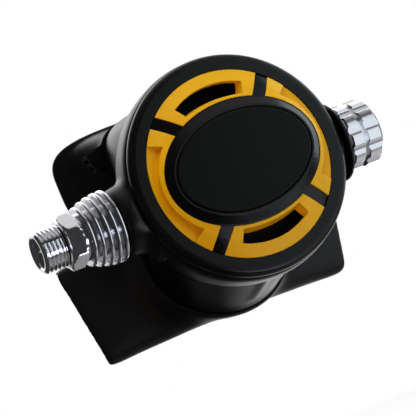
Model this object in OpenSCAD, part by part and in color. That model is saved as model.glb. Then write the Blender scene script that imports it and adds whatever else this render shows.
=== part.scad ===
// Scuba second stage (demand valve) with a purge cover, an adjustable downstream poppet valve,
// a finned heat exchanger on the inlet, an exhaust tee and a silicone mouthpiece.
// Every piece is drawn about the case axis: the front face of the clamp ring lies at y = 0,
// +Y runs into the case towards the diver, +X runs along the valve to the knob, +Z is up.
// The last lines move the whole model, so that its origin is the middle of the hose inlet's mouth.

/* [Case and clamp ring] */
// Width of the clamp ring's face, outside the cover
ring_face_w = 5.8; // [5.4:0.1:7]
// Step from the clamp ring out to the case band
band_step = 0.8; // [0.4:0.1:1.5]
// Depth of the rear edge of the case band behind the front face
band_depth = 16.6; // [15:0.2:19]
// Thickness of the clamp ring's flange
ring_flange = 3; // [2.6:0.1:3.4]
// Radius of the clamp ring's rounded outer edge
ring_round = 2.4; // [1:0.1:2.6]
// Thickness of the case wall
case_wall = 2.4; // [2:0.1:2.8]
// Diameter of the exhaust drum behind the case
drum_d = 49.6; // [46:0.2:51]
// Depth of the drum's rim behind the front face
drum_depth = 48.5; // [46:0.5:51]
// Drop of the drum's rim centre below the case axis
drum_drop = 17.8; // [16:0.2:19]
// Downward lean of the drum's axis in degrees
drum_lean = 15; // [10:1:18]

/* [Front cover] */
// Diameter of the yellow panel ring and of the cover inside the clamp ring
panel_d = 63.5; // [60:0.5:70]
// Length of the raised oval frame, as a share of the panel ring's diameter
oval_length_share = 0.885; // [0.86:0.005:0.9]
// Height of the raised oval frame, as a share of the panel ring's diameter
oval_height_share = 0.6457; // [0.6:0.005:0.66]
// Rise of the oval frame above the front face
oval_rise = 3.25; // [2.5:0.05:4]
// Width of the oval frame round the purge button at its ends
frame_end_w = 3.5; // [3:0.1:5]
// Width of the oval frame round the purge button above and below
frame_side_w = 4.3; // [3.5:0.1:5.5]
// Rise of the purge button's face above the front face
button_rise = 5.2; // [4.6:0.1:6]
// Travel of the purge button
purge_travel = 2.2; // [1.6:0.1:2.3]
// Angle of the four spokes from the oval's long axis
spoke_angle = 48; // [44:1:52]
// Width of a spoke
spoke_w = 4.1; // [3:0.1:5]
// Turn of the cover on the case in degrees
cover_turn = 3.9; // [0:0.1:8]
// Half of the angle that a water slot covers
slot_half_angle = 25; // [20:1:28]
// Width of the panel outside a water slot
slot_margin = 4.35; // [3.8:0.05:5]

/* [Valve] */
// Depth of the valve axis behind the front face
valve_depth = 13.3; // [13.3:0.1:14.5]
// Height of the valve axis above the case axis
valve_rise = -2.9; // [-4:0.1:0]
// Length of the valve's boss past the case band, on the inlet's side
boss_l = 5.2; // [3.5:0.1:8]
// Outside diameter of the valve barrel
barrel_d = 12; // [11.6:0.1:12.2]
// Bore of the valve barrel
barrel_bore_d = 9.6; // [9.2:0.1:9.8]
// Outside diameter of the hose thread
thread_d = 14.28; // [13.5:0.01:15]
// Length of the hose thread
thread_l = 8.2; // [7:0.1:9]
// Bore of the hose inlet
inlet_bore_d = 9.6; // [8.6:0.1:10]
// Depth of the hose inlet's bore
inlet_bore_l = 9; // [7:0.1:10]
// Width across the flats of the inlet hexagon
hex_af = 16.5; // [15:0.1:18]
// Length of the inlet hexagon
hex_l = 5.4; // [4:0.1:6]
// Number of cooling fins
fin_count = 5; // [3:1:5]
// Distance from fin to fin
fin_pitch = 2.5; // [2.2:0.1:2.5]
// Thickness of a fin
fin_t = 1.4; // [1:0.1:1.6]
// Diameter of the largest fin
fin_d = 24.8; // [22:0.1:26]
// Shrink of the fin radius, times the square of the fin's place
fin_shrink = 0.145; // [0.05:0.005:0.2]
// Diameter of the adjustment knob
knob_d = 22.5; // [20:0.1:24]
// Length of the adjustment knob
knob_l = 12.3; // [11:0.1:12.3]
// Number of lobes round the knob
knob_lobes = 10; // [6:1:12]
// Travel of the spring carrier over the knob's two turns
carrier_travel = 2; // [1:0.1:2]

/* [Mouthpiece and exhaust tee] */
// Height of the mouthpiece above the case axis
port_rise = 23.5; // [22.5:0.1:24.5]
// Outside length of the case's oval mouthpiece port
port_l = 34; // [32:0.5:36]
// Outside height of the case's oval mouthpiece port
port_h = 21; // [19:0.5:22]
// Depth of the port's end behind the front face
port_depth = 70; // [68:0.5:72]
// Thickness of the mouthpiece's sleeve
sleeve_wall = 2.6; // [2:0.1:3]
// Depth of the mouthpiece's lip flange behind the front face
flange_depth = 81; // [80:0.5:86]
// Length of the lip flange
flange_l = 66.5; // [62:0.5:72]
// Height of the lip flange
flange_h = 32; // [30:0.5:36]
// Reach of the bite tabs behind the lip flange
bite_reach = 17; // [14:0.5:20]
// Half of the tee's width at its top corners
tee_top_reach = 54; // [52:0.5:58]
// Half of the tee's width at its bottom corners
tee_foot_reach = 48.4; // [46:0.2:51]
// Height of the tee's foot at its ends below the case axis
tee_foot_drop = 42.4; // [41.6:0.2:44]
// Height of the tee's ducts at their ends
tee_end_h = 38; // [34:0.5:39]
// Depth of the tee's front wall at its ends
tee_end_depth = 60.5; // [58:0.5:62]
// Thickness of the tee's wall
tee_wall = 2; // [1.6:0.1:2.4]

/* [Hidden] */

$fn = 96;
// Sides of an oval outline, and of a hull's own children
oval_sides = 72;
hull_sides = 32;
corner_sides = 24;
// Extra length by which a cutting tool passes the face that it opens
over = 0.5;
// How far a hull stays inside a round face that it runs into
skin = 0.15;

// Clearances
panel_gap = 0.15;       // yellow panel to spoke, frame and clamp ring
button_gap = 0.3;       // purge button to the opening round it
touch_gap = 0.3;        // between pieces that meet without a fit
fit_gap = 0.05;         // sliding and screwed fits, in radius
seat_gap = 0.1;         // stacked pieces that seat on each other

// Case, clamp ring and what they clamp, by depth
cover_r = panel_d / 2;
lip_r = cover_r + panel_gap;
ring_r = lip_r + ring_face_w;
band_r = ring_r + band_step;
ring_lip = 1.1;
skirt_r = cover_r + 1.45;
thread_skirt_r = skirt_r + 1.4;
skirt_depth = 4.4;
slip_top = 4.7;
slip_t = 0.5;
bead_t = 1.2;
ledge_depth = slip_top + slip_t + bead_t;
cavity_r = cover_r - 0.45;
edge_chamfer = 0.35;
band_round = 0.6;
band_full_depth = 6.5;
bowl_r = band_r - 2.5;
rim_bore_r = thread_skirt_r + fit_gap * 4;

// Cover stack, by depth
panel_back = 1.2;
oval_a = cover_r * oval_length_share;
oval_b = cover_r * oval_height_share;
button_a = oval_a - frame_end_w;
button_b = oval_b - frame_side_w;
slot_r = cover_r - slot_margin;
frame_rise = button_rise - 0.25;
spoke_sink = 0.4;
deck_top = 0.4;
deck_t = 1;
guide_r = 3.1;
stem_r = guide_r - fit_gap;
clip_t = 0.5;
stem_end = deck_top + deck_t + seat_gap / 2 + clip_t + 0.05;
button_t = 1.6;
button_skirt = button_rise + deck_top - button_t - purge_travel - touch_gap;
sunk_floor = 0.35;
block_angle = 33;
slot_flare = 3;
purge_coil_r = 4;
purge_wire_r = 0.3;
purge_coil_growth = 2.4;
membrane_t = 0.6;
membrane_top = stem_end + touch_gap;
fold_in_r = cavity_r - 6.3;
fold_out_r = cavity_r - 3;
bead_r = cavity_r - 1.3;
disc_r = 12;
disc_t = 0.6;
disc_top = membrane_top + membrane_t + fit_gap;

// Valve along its own axis
barrel_r = barrel_d / 2;
bore_r = barrel_bore_d / 2;
left_boss_end = -band_r - boss_l;
exchanger_end = left_boss_end - seat_gap;
first_fin = exchanger_end - 0.6 - fin_t / 2 - (fin_count - 1) * fin_pitch;
exchanger_start = first_fin - fin_t / 2 - 1.2;
hex_end = exchanger_start - seat_gap;
hex_start = hex_end - hex_l;
thread_end = hex_start - 0.9;
inlet_reach = thread_l - thread_end;
boss_r = 11.9;
boss_end_r = 11.3;
boss_flare = 6;
o_ring_x = thread_skirt_r + 1.2;
barrel_start = hex_end + 0.2;
right_boss_end = band_r + 0.3;
nut_l = 2.5;
nut_base_l = 0.9;
nut_start = right_boss_end + seat_gap;
nut_end = nut_start + nut_l;
nut_r = 13.7;
nut_end_r = 11.9;
nut_notches = 14;
knob_start = nut_end + 2 * seat_gap;
knob_reach = knob_start + knob_l;
knob_groove = 6.8;
inlet_seal_x = exchanger_start + 5;

// Parts inside the barrel, from the inlet to the knob
orifice_start = left_boss_end - 0.8;
orifice_l = 17.5;
orifice_end = orifice_start + orifice_l;
orifice_seal_x = orifice_start + 4;
seat_t = 1.6;
seat_r = 3.6;
seat_start = orifice_end + fit_gap;
poppet_start = seat_start + 0.5;
poppet_head_l = 8.5;
poppet_stem_r = 1.5;
poppet_end = 23.4;
// The lever lifts the poppet by this share of the button's travel
lever_ratio = 0.42;
lever_pivot_x = 15;
lever_pivot_y = 7;
lever_t = 0.9;
lever_tip_t = 0.6;
foot_t = 0.9;
foot_inner = 1.9;
foot_w = 0.9;
foot_past_axis = 1.3;
knuckle_r = 0.7;
washer_start = lever_pivot_x + foot_t / 2 + touch_gap;
washer_t = 0.7;
washer_r = 3.2;
nut_hex_af = 5.5;
nut_hex_l = 2.4;
spring_start = washer_start + washer_t + nut_hex_l + touch_gap;
carrier_spigot = 2.6;
carrier_start = poppet_end + lever_ratio * purge_travel + carrier_travel + carrier_spigot + 1;
spigot_r = 2.3;
spindle_r = 2.5;
poppet_coil_r = 3.3;
poppet_wire_r = 0.4;
screw_clip_t = 0.8;
screw_flange_l = 2.6;
barrel_end = knob_start + 0.85;
clip_start = barrel_end - screw_clip_t - 1.2;
screw_flange_start = clip_start - seat_gap - screw_flange_l;
screw_seal_x = screw_flange_start + screw_flange_l / 2;
carrier_l = screw_flange_start - 0.8 - carrier_start;
drive_r = 3;
knob_bore_r = barrel_r + 0.3;

// Mouthpiece port, sleeve, tie and lip flange
port_a = port_l / 2;
port_b = port_h / 2;
port_wall = 2;
port_squareness = 2.9;
flange_squareness = 3.2;
port_bead = 0.7;
neck_depth = 60;
neck_a = 19.6;
neck_b = 13.6;
neck_up = 0.8;
sleeve_gap = 0.15;
sleeve_a = port_a + sleeve_gap + sleeve_wall;
sleeve_b = port_b + sleeve_gap + sleeve_wall;
sleeve_start = neck_depth + 0.5;
tie_start = sleeve_start + 1.5;
tie_w = 5;
tie_t = 1.1;
tie_head_up = 3;
tie_head_sink = 2.8;
tie_head_lean = 15;
flange_up = 0.8;
flange_t = 2;
flange_bend_r = 140;
flange_reach = 40;
bite_a = 13.5;
bite_b = 6.5;
tab_t = 2.4;
tab_w = 11;
tab_h = 9;

// Exhaust drum, its flap and the tee
drum_r = drum_d / 2;
drum_wall = 2.2;
drum_l = 4.2;
drum_seat = 1.5;
flap_r = 16.5;
collar_gap = 0.15;
collar_wall = 1.5;
collar_back = 4;
tee_corner_r = 3.4;
tee_root_top = 2.5;
tee_root_foot = -41.3;
tee_throat_r = drum_r - 4.8;
fillet_reach = 32;
fillet_mid_depth = 4.5;
fillet_mid_grow = 1.3;
tee_back_depth = 78;
tee_back_rise = 4;
tee_mouth_turn = 25;
mouth_cut = 90;
tee_rim_r = drum_r + collar_gap + collar_wall;

// -------------------------------------------------------------- placing and outlines

// Points of an oval, its half axes a and b
function oval(a, b, n = oval_sides) = [for (i = [0 : n - 1]) [a * cos(360 * i / n), b * sin(360 * i / n)]];

// Points of an oval with squarer shoulders; squareness 2 gives a plain oval
function squared_oval(a, b, squareness, n = oval_sides) = [for (i = [0 : n - 1])
    let (c = cos(360 * i / n), s = sin(360 * i / n))
    [a * sign(c) * pow(abs(c), 2 / squareness), b * sign(s) * pow(abs(s), 2 / squareness)]];

// A flat outline in X and Z, given thickness from depth y0 to depth y1
module slab(y0, y1) {
    translate([0, y1, 0]) rotate([90, 0, 0]) linear_extrude(y1 - y0) children();
}

// A profile of radius and depth, turned about the case axis
module turned() {
    rotate([-90, 0, 0]) rotate_extrude() children();
}

// A profile of radius and length along X, turned about the valve axis
module valve_turned() {
    translate([0, valve_depth, valve_rise]) rotate([0, 90, 0]) rotate_extrude() children();
}

// A round bar from x0 to x1 on the valve axis
module valve_bar(r, x0, x1, sides = $fn) {
    translate([x0, valve_depth, valve_rise]) rotate([0, 90, 0]) cylinder(r = r, h = x1 - x0, $fn = sides);
}

// The frame of the exhaust drum: its own Y axis leans down, with the rim's centre at zero
module on_drum() {
    translate([0, drum_depth, -drum_drop]) rotate([-drum_lean, 0, 0]) children();
}

// The frame of the front cover, turned on the case
module on_cover() {
    rotate([0, -cover_turn, 0]) children();
}

// One unbroken coil of round wire along +Z, as a tube of 6 sides with 8 rings to a turn;
// growth is what its radius gains along its length
module coil(r, wire_r, length, turns, growth = 0) {
    sides = 6;
    rings = 8 * turns;
    middle = [for (i = [0 : rings]) let (reach = r + growth * i / rings)
        [reach * cos(45 * i), reach * sin(45 * i), wire_r + (length - 2 * wire_r) * i / rings]];
    points = [for (i = [0 : rings], k = [0 : sides - 1])
        let (w = wire_r * cos(360 * k / sides))
        middle[i] + [w * cos(45 * i), w * sin(45 * i), wire_r * sin(360 * k / sides)]];
    walls = [for (i = [0 : rings - 1], k = [0 : sides - 1], half = [0, 1])
        let (a = i * sides + k, b = i * sides + (k + 1) % sides)
        half == 0 ? [a, a + sides, b + sides] : [a, b + sides, b]];
    caps = [for (k = [1 : sides - 2], end = [0, 1])
        end == 0 ? [0, k, k + 1] : [rings * sides, rings * sides + k + 1, rings * sides + k]];
    echo(least_gap = min([for (i = [0 : rings - 7], j = [i + 7 : min(i + 9, rings)])
        norm(middle[i] - middle[j])]) - 2 * wire_r);
    polyhedron(points, concat(walls, caps));
}

// -------------------------------------------------------------- case and clamp ring

// Smooth body from the band back to the exhaust drum and to the mouthpiece port
module bowl(inset) {
    depth = band_depth - case_wall;
    hull() {
        slab(depth, depth + 1) circle(r = bowl_r - inset, $fn = oval_sides);
        on_drum() slab(-2, -1) circle(r = drum_r - inset - skin, $fn = oval_sides);
    }
    hull() {
        slab(depth, depth + 1) circle(r = bowl_r - inset - 1, $fn = oval_sides);
        slab(neck_depth - inset - 1, neck_depth - inset) translate([0, port_rise + neck_up])
            polygon(squared_oval(neck_a - inset, neck_b - inset, port_squareness));
    }
}

// Boss for one end of the valve, with a fillet where it leaves the band
module boss(side, end, end_r) {
    corner = min(band_r + 1.5, abs(end) - 0.1);
    valve_turned() polygon([[0, end], [end_r, end], [boss_r, side * corner], [boss_r, 0], [0, 0]]);
    intersection() {
        valve_turned() polygon(concat([[0, side * (corner - boss_flare)], [0, side * corner]],
            [for (a = [0 : 15 : 90]) [boss_r + boss_flare * (1 - cos(a)), side * (corner - boss_flare * sin(a))]]));
        turned() polygon([[1, ring_flange + edge_chamfer], [band_r + 2, ring_flange + edge_chamfer],
            [band_r + 2, band_depth - 2], [band_r - 9, band_depth + 14], [1, band_depth + 14]]);
    }
}

module case() {
    color("#1b1c1c") difference() {
        union() {
            turned() polygon([[0, ring_flange + edge_chamfer + 4], [band_r - 4, ring_flange],
                [band_r - band_round - edge_chamfer, ring_flange],
                [band_r - band_round, ring_flange + edge_chamfer], [band_r, band_full_depth],
                [band_r - band_round / 2, band_depth - 1], [band_r - band_round / 2 - 1, band_depth],
                [0, band_depth]]);
            bowl(0);
            on_drum() slab(-2, drum_l) circle(r = drum_r);
            slab(neck_depth - 2, port_depth) translate([0, port_rise])
                polygon(squared_oval(port_a, port_b, port_squareness));
            slab(port_depth - 2.4, port_depth - 0.8) translate([0, port_rise])
                polygon(squared_oval(port_a + port_bead, port_b + port_bead, port_squareness));
            boss(-1, left_boss_end, boss_end_r);
            boss(1, right_boss_end, boss_r - 0.2);
            underside_rib();
        }
        // Seat of the clamp ring and the diaphragm, and the air chamber
        slab(-over, ring_flange) circle(r = ring_r + touch_gap);
        slab(ring_flange - over, ledge_depth) circle(r = rim_bore_r);
        slab(ledge_depth - over, band_depth - case_wall + over) circle(r = cavity_r);
        difference() {
            bowl(case_wall);
            for (side = [-1, 1])
                valve_bar(boss_r - 1, side * 33 - 2.4, side * 33 + 2.4);
        }
        // Port to the mouthpiece
        slab(neck_depth - 5, port_depth + over) translate([0, port_rise])
            polygon(squared_oval(port_a - port_wall, port_b - port_wall, port_squareness));
        // Exhaust holes between the spokes of the flap's seat
        on_drum() difference() {
            slab(-4, drum_seat + over) circle(r = flap_r - 1.5);
            slab(-5, drum_seat + 1) circle(r = 3.6);
            for (k = [0 : 2])
                rotate([0, 60 * k, 0]) translate([-flap_r, -5, -1]) cube([2 * flap_r, 9, 2]);
        }
        on_drum() slab(drum_seat, drum_l + over) circle(r = drum_r - drum_wall);
        on_drum() slab(-5, drum_seat + 1) circle(r = 1.6);
        // Valve bores with their seal grooves
        valve_bar(barrel_r + fit_gap, left_boss_end - over, 0);
        valve_bar(barrel_r + fit_gap, 0, right_boss_end + over);
        for (x = [-o_ring_x, o_ring_x])
            valve_bar(barrel_r + 1, x - 0.7, x + 0.7);
        // Room for the tee's collar under the neck
        difference() {
            collar_swell(touch_gap, -touch_gap);
            on_drum() slab(-6, drum_l + over) circle(r = drum_r + 0.01);
        }
    }
}

// Two steps in which the tee's collar swells round the drum into the ducts' front walls, from
// the depth start on the drum
module collar_swell(grow, start) {
    wall_depth = drum_depth + 8.5;
    hull() {
        on_drum() slab(start, 2) circle(r = tee_rim_r + grow, $fn = oval_sides);
        on_drum() slab(fillet_mid_depth - 0.5, fillet_mid_depth) translate([0, fillet_mid_grow])
            circle(r = tee_rim_r + fillet_mid_grow - 0.4 + grow, $fn = oval_sides);
    }
    hull() {
        on_drum() slab(fillet_mid_depth - 0.5, fillet_mid_depth) translate([0, fillet_mid_grow])
            circle(r = tee_rim_r + fillet_mid_grow - 0.4 + grow, $fn = oval_sides);
        slab(wall_depth, wall_depth + 1) translate([0, (tee_root_top + tee_root_foot) / 2])
            polygon(oval(fillet_reach + grow, (tee_root_top - tee_root_foot) / 2 + grow));
    }
}

// Mould rib along the middle of the case's underside
module underside_rib() {
    rib_w = 3;
    intersection() {
        translate([-rib_w / 2, band_depth - 1, -drum_drop - drum_r - 4])
            cube([rib_w, drum_depth - band_depth - 4, 17]);
        hull() {
            slab(band_depth - 3, band_depth - 2) circle(r = bowl_r + 1, $fn = oval_sides);
            on_drum() slab(-6, -5) circle(r = drum_r + 0.8, $fn = oval_sides);
        }
    }
}

module clamp_ring() {
    color("#161717") turned() polygon(concat(
        [[lip_r, 0]],
        [for (a = [0 : 15 : 90]) [ring_r - ring_round + ring_round * sin(a), ring_round - ring_round * cos(a)]],
        [[ring_r, ring_flange - edge_chamfer], [ring_r - edge_chamfer, ring_flange],
            [thread_skirt_r, ring_flange], [thread_skirt_r, skirt_depth], [skirt_r, skirt_depth],
            [skirt_r, ring_lip], [lip_r, ring_lip]]));
}

// -------------------------------------------------------------- front cover

// Domed face of the cover: it climbs from the panel circle at the front face to the oval frame
module dome(sink) {
    mid_a = (oval_a * 0.58 + cover_r * 0.42);
    mid_b = (oval_b * 0.58 + cover_r * 0.42);
    mid_y = -oval_rise * 0.68;
    hull() {
        slab(sink, panel_back) circle(r = cover_r, $fn = oval_sides);
        slab(mid_y + sink, mid_y + sink + 0.1) polygon(oval(mid_a, mid_b));
    }
    hull() {
        slab(mid_y + sink, mid_y + sink + 0.1) polygon(oval(mid_a, mid_b));
        slab(-oval_rise + sink, -oval_rise + sink + 0.1) polygon(oval(oval_a, oval_b));
    }
}

// Flat outline of the four spokes, grown by a gap
module spokes(grow) {
    for (a = [spoke_angle, 180 - spoke_angle, 180 + spoke_angle, 360 - spoke_angle])
        rotate(a) translate([0, -spoke_w / 2 - grow]) square([cover_r + over, spoke_w + 2 * grow]);
}

module front_cover() {
    rim_r = skirt_r - 0.2;
    color("#141515") on_cover() difference() {
        union() {
            intersection() {
                dome(spoke_sink);
                slab(-oval_rise - over, panel_back + over) spokes(0);
            }
            intersection() {
                dome(0);
                slab(-oval_rise - over, panel_back + over) polygon(oval(oval_a, oval_b));
            }
            // Slope from the oval frame up to the button
            hull() {
                slab(-oval_rise, -oval_rise + 1) polygon(oval(oval_a - 0.3, oval_b - 0.3));
                slab(-frame_rise, -frame_rise + 0.1) polygon(oval(button_a + button_gap + 0.7, button_b + button_gap + 0.7));
            }
            slab(panel_back - 0.1, deck_top + deck_t) polygon(oval(oval_a, oval_b));
            // Ledge that backs the panels, and the rim that the clamp ring holds
            turned() polygon([[cover_r - 2.4, panel_back], [rim_r, panel_back], [rim_r, slip_top],
                [rim_r - 1.4, slip_top], [rim_r - 1.4, panel_back + 1.4], [cover_r - 2.4, panel_back + 1.4]]);
            slab(panel_back - 0.1, panel_back + 1.4) difference() {
                intersection() {
                    spokes(0);
                    circle(r = rim_r - 1);
                }
                polygon(oval(oval_a - 1, oval_b - 1));
            }
        }
        slab(-frame_rise - over, deck_top) polygon(oval(button_a + button_gap, button_b + button_gap));
        // Guide bore of the button and water holes through the deck
        slab(deck_top - over, deck_top + deck_t + over) circle(r = guide_r);
        for (side = [-1, 1])
            slab(deck_top - over, deck_top + deck_t + over) translate([side * button_a * 0.55, 0])
                polygon(oval(button_a * 0.25, button_b * 0.55));
    }
}

// One yellow panel between two spokes, its middle at the angle given
module panel(middle, half_angle) {
    intersection() {
        difference() {
            dome(0);
            slab(-oval_rise - over, panel_back + over) polygon(oval(oval_a + panel_gap, oval_b + panel_gap));
            slab(-oval_rise - over, panel_back + over) spokes(panel_gap);
        }
        slab(-oval_rise - over, panel_back + over) wedge(middle, half_angle);
    }
}

// Flat wedge from the case axis past the rim, with its middle at the angle given
module wedge(middle, half_angle) {
    rotate(middle) polygon([[0, 0], for (k = [-1 : 0.25 : 1]) 45 * [cos(half_angle * k), sin(half_angle * k)]]);
}

// Water slot: an arc outside, the oval's own line inside, and end walls that slope outwards
module water_slot(middle) {
    face = -oval_rise - over;
    difference() {
        intersection() {
            slab(face, panel_back + over) circle(r = slot_r);
            hull() {
                slab(panel_back, panel_back + over) wedge(middle, slot_half_angle);
                slab(face, face + 0.1) wedge(middle, slot_half_angle + slot_flare);
            }
        }
        hull() {
            slab(panel_back + over, panel_back + 2 * over) polygon(oval(oval_a + 2.2, oval_b + 2.2));
            slab(face - 0.1, face) polygon(oval(oval_a + 1, oval_b + 1));
        }
    }
}

module slotted_panel(middle) {
    color("#e8b41c") on_cover() difference() {
        panel(middle, 90 - spoke_angle);
        water_slot(middle);
    }
}

// Side panel: blocks beside the spokes and a rib along the oval stand round a sunk floor
module sunk_panel(middle) {
    color("#e8b41c") on_cover() difference() {
        panel(middle, spoke_angle);
        slab(-oval_rise - over, sunk_floor) difference() {
            wedge(middle, block_angle);
            polygon(oval(oval_a + 1.5, oval_b + 2.6));
        }
    }
}

module insert_top() slotted_panel(90);
module insert_bottom() slotted_panel(270);
module insert_left() sunk_panel(180);
module insert_right() sunk_panel(0);

module purge_button() {
    color("#17181a") on_cover() {
        difference() {
            union() {
                hull() {
                    slab(-button_rise, -button_rise + 0.1) polygon(oval(button_a - 0.5, button_b - 0.5));
                    slab(-button_rise + 0.4, -button_rise + 0.5) polygon(oval(button_a, button_b));
                }
                slab(-button_rise + 0.4, -button_rise + button_t + button_skirt) polygon(oval(button_a, button_b));
            }
            slab(-button_rise + button_t, 0) difference() {
                polygon(oval(button_a - 1.4, button_b - 1.4));
                circle(r = stem_r);
            }
        }
        slab(-button_rise + button_t - 0.1, stem_end - clip_t - 0.05) circle(r = stem_r);
        slab(stem_end - clip_t - 0.1, stem_end) circle(r = stem_r - 0.8);
    }
}

module purge_spring() {
    seat = -button_rise + button_t + touch_gap;
    color("#b9bcc0") rotate([-90, 0, 0]) translate([0, 0, seat])
        coil(purge_coil_r, purge_wire_r, deck_top - touch_gap - seat, 3, purge_coil_growth);
}

module purge_clip() {
    color("#9a9da1") slab(stem_end - clip_t - 0.05, stem_end - 0.05) difference() {
        circle(r = 4.6);
        circle(r = stem_r - 0.8 + fit_gap);
        translate([0, -1.2]) square([6, 2.4]);
    }
}

// -------------------------------------------------------------- diaphragm

module slip_ring() {
    color("#d8d8d2") turned() translate([cavity_r + 0.4, slip_top])
        square([thread_skirt_r - 0.1 - cavity_r - 0.4, slip_t]);
}

module diaphragm() {
    bead_top = slip_top + slip_t;
    outer_r = thread_skirt_r - 0.1;
    color("#3a3c3e") turned() polygon([
        [0, membrane_top], [disc_r + 2, membrane_top], [disc_r + 8, membrane_top + 0.9],
        [fold_in_r, membrane_top + 2.4], [fold_out_r, bead_top - 0.1], [bead_r, bead_top], [outer_r, bead_top],
        [outer_r, ledge_depth], [cavity_r + 0.4, ledge_depth], [cavity_r - 0.4, ledge_depth - 0.3],
        [bead_r, bead_top + membrane_t], [fold_out_r - 0.3, bead_top + membrane_t - 0.1],
        [fold_in_r - 0.3, membrane_top + 2.4 + membrane_t],
        [disc_r + 7.8, membrane_top + 0.9 + membrane_t], [disc_r + 1.9, membrane_top + membrane_t],
        [0, membrane_top + membrane_t]]);
}

module diaphragm_disc() {
    color("#c4c6c8") slab(disc_top, disc_top + disc_t) difference() {
        circle(r = disc_r);
        for (a = [0 : 60 : 300])
            rotate(a + 30) translate([disc_r * 0.68, 0]) circle(r = 1.6);
    }
}

// -------------------------------------------------------------- valve body and inlet

module valve_barrel() {
    window_l = 9.6;
    color("#c8b27a") difference() {
        valve_bar(barrel_r, barrel_start, barrel_end);
        valve_bar(bore_r, barrel_start - over, barrel_end + over);
        // Window for the lever, air hole to the mouthpiece, and the clip's groove
        translate([lever_pivot_x - 6.5, 0, valve_rise - 3.4]) cube([window_l, valve_depth - 1, 6.8]);
        translate([-2, valve_depth, valve_rise]) rotate([-90, 0, 0]) cylinder(r = 3.2, h = 10);
        valve_bar(bore_r + 0.6, clip_start - fit_gap, clip_start + screw_clip_t + fit_gap);
    }
}

module ring_seal(x, r, section_r) {
    valve_turned() translate([r, x]) circle(r = section_r, $fn = 24);
}

module barrel_o_rings() {
    color("#0f0f0f") for (x = [-o_ring_x, o_ring_x])
        ring_seal(x, barrel_r + 0.53, 0.42);
}

module heat_exchanger() {
    root_r = barrel_r + 1.9;
    color("#d3d6da") difference() {
        union() {
            valve_bar(root_r, exchanger_start, exchanger_end);
            for (k = [0 : fin_count - 1])
                let (r = fin_d / 2 - fin_shrink * pow(fin_count - 1 - k, 2), x = first_fin + k * fin_pitch)
                valve_turned() polygon(concat([[root_r - 0.2, x - fin_t / 2]],
                    [for (a = [0 : 30 : 180]) [r - fin_t / 2 + fin_t / 2 * sin(a), x - fin_t / 2 * cos(a)]],
                    [[root_r - 0.2, x + fin_t / 2]]));
        }
        valve_bar(barrel_r + fit_gap, exchanger_start - over, exchanger_end + over);
    }
}

module inlet_fitting() {
    stem_end_x = orifice_start - touch_gap;
    thread_r = thread_d / 2;
    hex_r = hex_af / 2 / cos(30);
    color("#dcdfe2") difference() {
        union() {
            valve_turned() polygon([[0, -inlet_reach], [thread_r - 0.7, -inlet_reach],
                [thread_r, -inlet_reach + 0.7], [thread_r, thread_end - 0.8], [thread_r - 0.9, thread_end],
                [hex_af / 2 - 0.4, thread_end + 0.3], [hex_af / 2 - 0.4, hex_start + 0.1], [0, hex_start + 0.1]]);
            intersection() {
                valve_bar(hex_r, hex_start, hex_end, 6);
                valve_turned() polygon([[0, hex_start], [hex_af / 2 - 0.1, hex_start],
                    [hex_r, hex_start + 0.9], [hex_r, hex_end - 0.7], [hex_af / 2 + 0.1, hex_end], [0, hex_end]]);
            }
            valve_bar(bore_r - fit_gap, hex_end - 0.1, stem_end_x);
        }
        valve_turned() polygon([[0, -inlet_reach - over], [inlet_bore_d / 2 + 0.8 + over, -inlet_reach - over],
            [inlet_bore_d / 2 + 0.8, -inlet_reach], [inlet_bore_d / 2, -inlet_reach + 0.8],
            [inlet_bore_d / 2, -inlet_reach + inlet_bore_l], [3.2, -inlet_reach + inlet_bore_l + 0.8],
            [3.2, stem_end_x + over], [0, stem_end_x + over]]);
        valve_turned() translate([bore_r - 0.8, inlet_seal_x - 0.7]) square([2, 1.4]);
    }
}

module inlet_o_ring() color("#0f0f0f") ring_seal(inlet_seal_x, bore_r - 0.42, 0.36);

module orifice() {
    color("#c9a94f") difference() {
        valve_turned() polygon([[0, orifice_start], [bore_r - fit_gap, orifice_start],
            [bore_r - fit_gap, orifice_end - 8], [3.2, orifice_end - 3], [3.2, orifice_end - 0.8],
            [2.7, orifice_end], [0, orifice_end]]);
        valve_bar(2.1, orifice_start - over, orifice_end + over);
        valve_turned() translate([bore_r - 0.8, orifice_seal_x - 0.7]) square([2, 1.4]);
    }
}

module orifice_o_ring() color("#0f0f0f") ring_seal(orifice_seal_x, bore_r - 0.42, 0.36);

// -------------------------------------------------------------- poppet and lever

module poppet() {
    head_end = poppet_start + poppet_head_l;
    color("#e6e6e0") difference() {
        union() {
            intersection() {
                valve_bar(bore_r - 0.15, poppet_start, head_end);
                union() for (a = [0, 60, 120])
                    translate([poppet_start, valve_depth, valve_rise]) rotate([a, 0, 0])
                        translate([0, -bore_r, -1.9]) cube([poppet_head_l, 2 * bore_r, 3.8]);
            }
            valve_bar(seat_r + 0.5, poppet_start, poppet_start + 3);
            valve_bar(poppet_stem_r, head_end - 0.1, poppet_end);
        }
        valve_bar(seat_r + fit_gap, poppet_start - over, seat_start + seat_t + fit_gap);
    }
}

module poppet_seat() color("#2b2b2b") valve_bar(seat_r, seat_start, seat_start + seat_t);

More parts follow.
